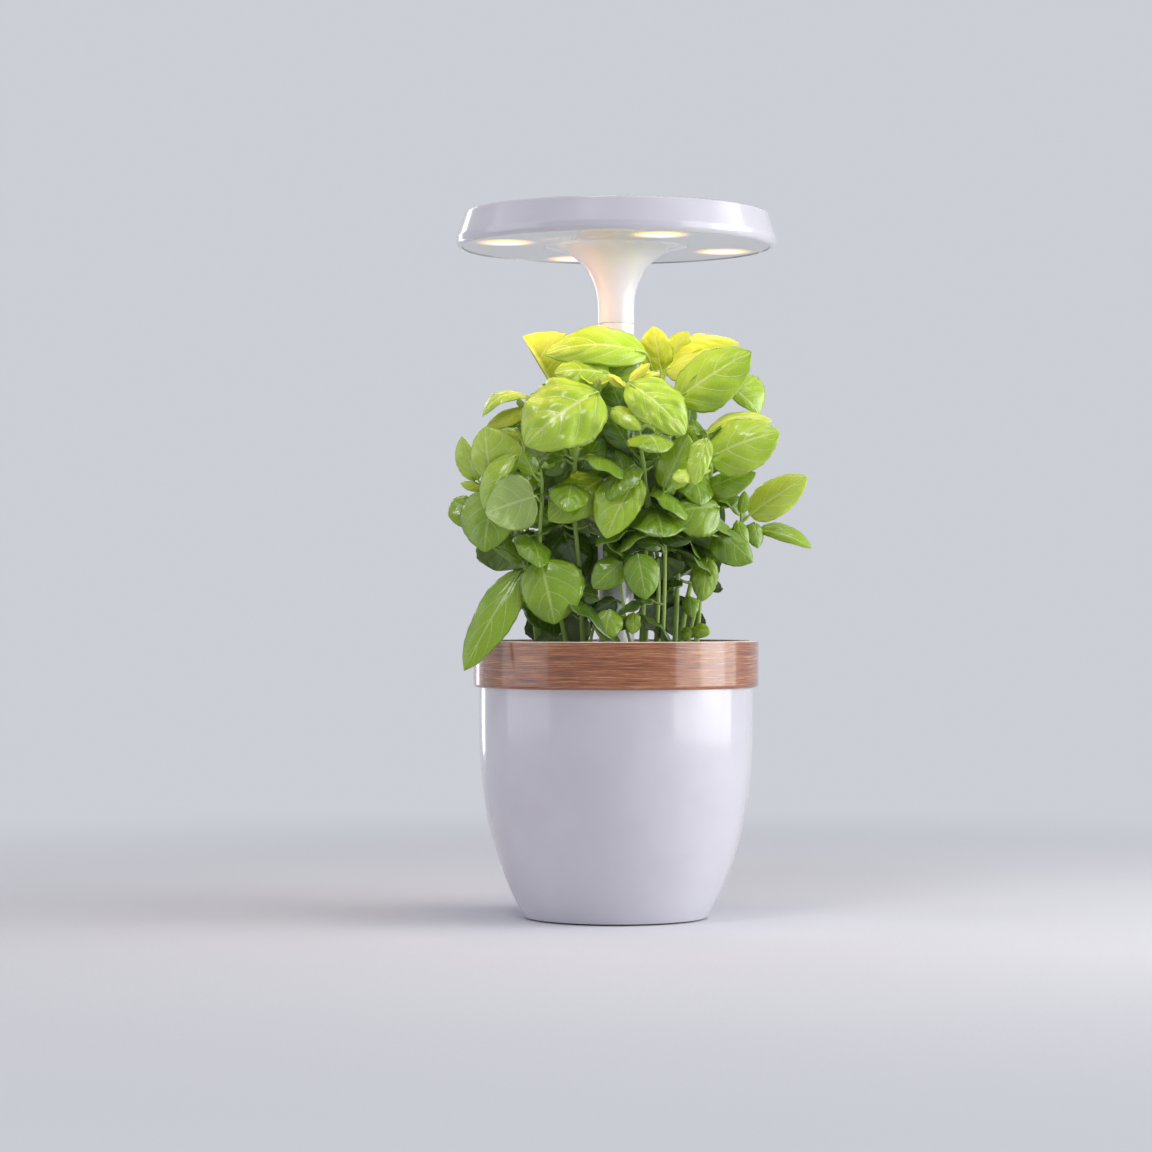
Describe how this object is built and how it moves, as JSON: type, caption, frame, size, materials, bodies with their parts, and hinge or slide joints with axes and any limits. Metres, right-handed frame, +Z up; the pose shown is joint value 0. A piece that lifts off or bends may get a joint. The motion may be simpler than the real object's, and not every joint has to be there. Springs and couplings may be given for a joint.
{
  "type": "countertop hydroponic garden",
  "caption": "Round tabletop hydroponic planter with water tank, cups of basil, wood-look rim ring and a disc grow lamp on a telescopic centre column",
  "frame": {"origin": "middle of the rubber foot's lower face, on the surface that the garden stands on", "axes": "+Z up along the column; -Y to the front; +Y to the power inlet at the back; +X to the right"},
  "size_m": [0.226, 0.2, 0.4401],
  "materials": {
    "pot_white": "high gloss moulded shell",
    "wood": "horizontal streaked grain under satin lacquer",
    "steel": "brushed",
    "rubber": "matt, slightly dusty",
    "black_plastic": "fine moulded texture",
    "board": "green solder mask",
    "board_white": "white solder mask",
    "lead": "smooth sheath",
    "deck_white": "fine moulded texture",
    "float_foam": "closed foam",
    "signal_red": "gloss",
    "column_white": "white gloss coat",
    "bush": "low-friction moulding",
    "lamp_white": "high gloss moulded shell",
    "under_cover": "mirror gloss",
    "led": "yellow phosphor",
    "lens": "clear, lit warm white",
    "heat_plate": "rolled sheet",
    "button": "satin",
    "cup_plastic": "fine moulded texture",
    "sponge": "damp open foam",
    "basil": "waxy leaf with pale veins"
  },
  "bodies": {
    "pot": {"outer_pot": "pot_white", "inlet_cup": "pot_white", "tank_floor": "pot_white", "centre_tower": "pot_white", "wood_ring": "wood", "base_cover": "pot_white", "base_screws": "steel", "rubber_foot": "rubber", "dc_jack": "black_plastic", "driver_board": "board", "jack_lead": "lead", "socket_lead": "lead", "column_socket": "black_plastic"},
    "planter": {"grow_deck": "deck_white", "net_cup_1": "cup_plastic", "net_cup_2": "cup_plastic", "net_cup_3": "cup_plastic", "net_cup_4": "cup_plastic", "net_cup_5": "cup_plastic", "net_cup_6": "cup_plastic", "grow_sponge_1": "sponge", "grow_sponge_2": "sponge", "grow_sponge_3": "sponge", "grow_sponge_4": "sponge", "grow_sponge_5": "sponge", "grow_sponge_6": "sponge", "basil_1": "basil", "basil_2": "basil", "basil_3": "basil", "basil_4": "basil", "basil_5": "basil", "basil_6": "basil"},
    "float": {"float_body": "float_foam", "float_rod": "black_plastic", "float_tip": "signal_red"},
    "column": {"outer_tube": "column_white", "column_plug": "black_plastic", "guide_bush": "bush"},
    "lamp_slide": {"inner_tube": "steel", "slider_bush": "bush", "retaining_clip": "steel", "swivel_washer": "bush", "coiled_lead": "lead", "tube_lead": "lead"},
    "lamp_head": {"neck": "lamp_white", "lamp_top_shell": "lamp_white", "under_cover": "under_cover", "led_lens_1": "lens", "led_lens_2": "lens", "led_lens_3": "lens", "led_lens_4": "lens", "led_board": "board_white", "led_emitters": "led", "heat_plate": "heat_plate", "neck_screws": "steel", "shell_screws": "steel", "control_board": "board", "head_lead": "lead"},
    "button": {"power_button": "button"}
  },
  "joints": [
    {"name": "column_lift", "type": "slide", "parent": "pot", "child": "column", "axis": [0, 0, 1], "range_m": [0, 0.2]},
    {"name": "planter_lift", "type": "slide", "parent": "pot", "child": "planter", "axis": [0, 0, 1], "range_m": [0, 0.02]},
    {"name": "float_travel", "type": "slide", "parent": "planter", "child": "float", "axis": [0, 0, 1], "range_m": [0, 0.024]},
    {"name": "lamp_height", "type": "slide", "parent": "column", "child": "lamp_slide", "axis": [0, 0, 1], "range_m": [0, 0.12], "deforming": ["coiled_lead"]},
    {"name": "lamp_swivel", "type": "hinge", "parent": "lamp_slide", "child": "lamp_head", "pos_m": [0, 0, 0.398], "axis": [0, 0, 1], "range_deg": [-170, 170]},
    {"name": "button_press", "type": "slide", "parent": "lamp_head", "child": "button", "axis": [0, 0, -1], "range_m": [0, 0.0009], "stiffness_N_per_m": 800}
  ]
}
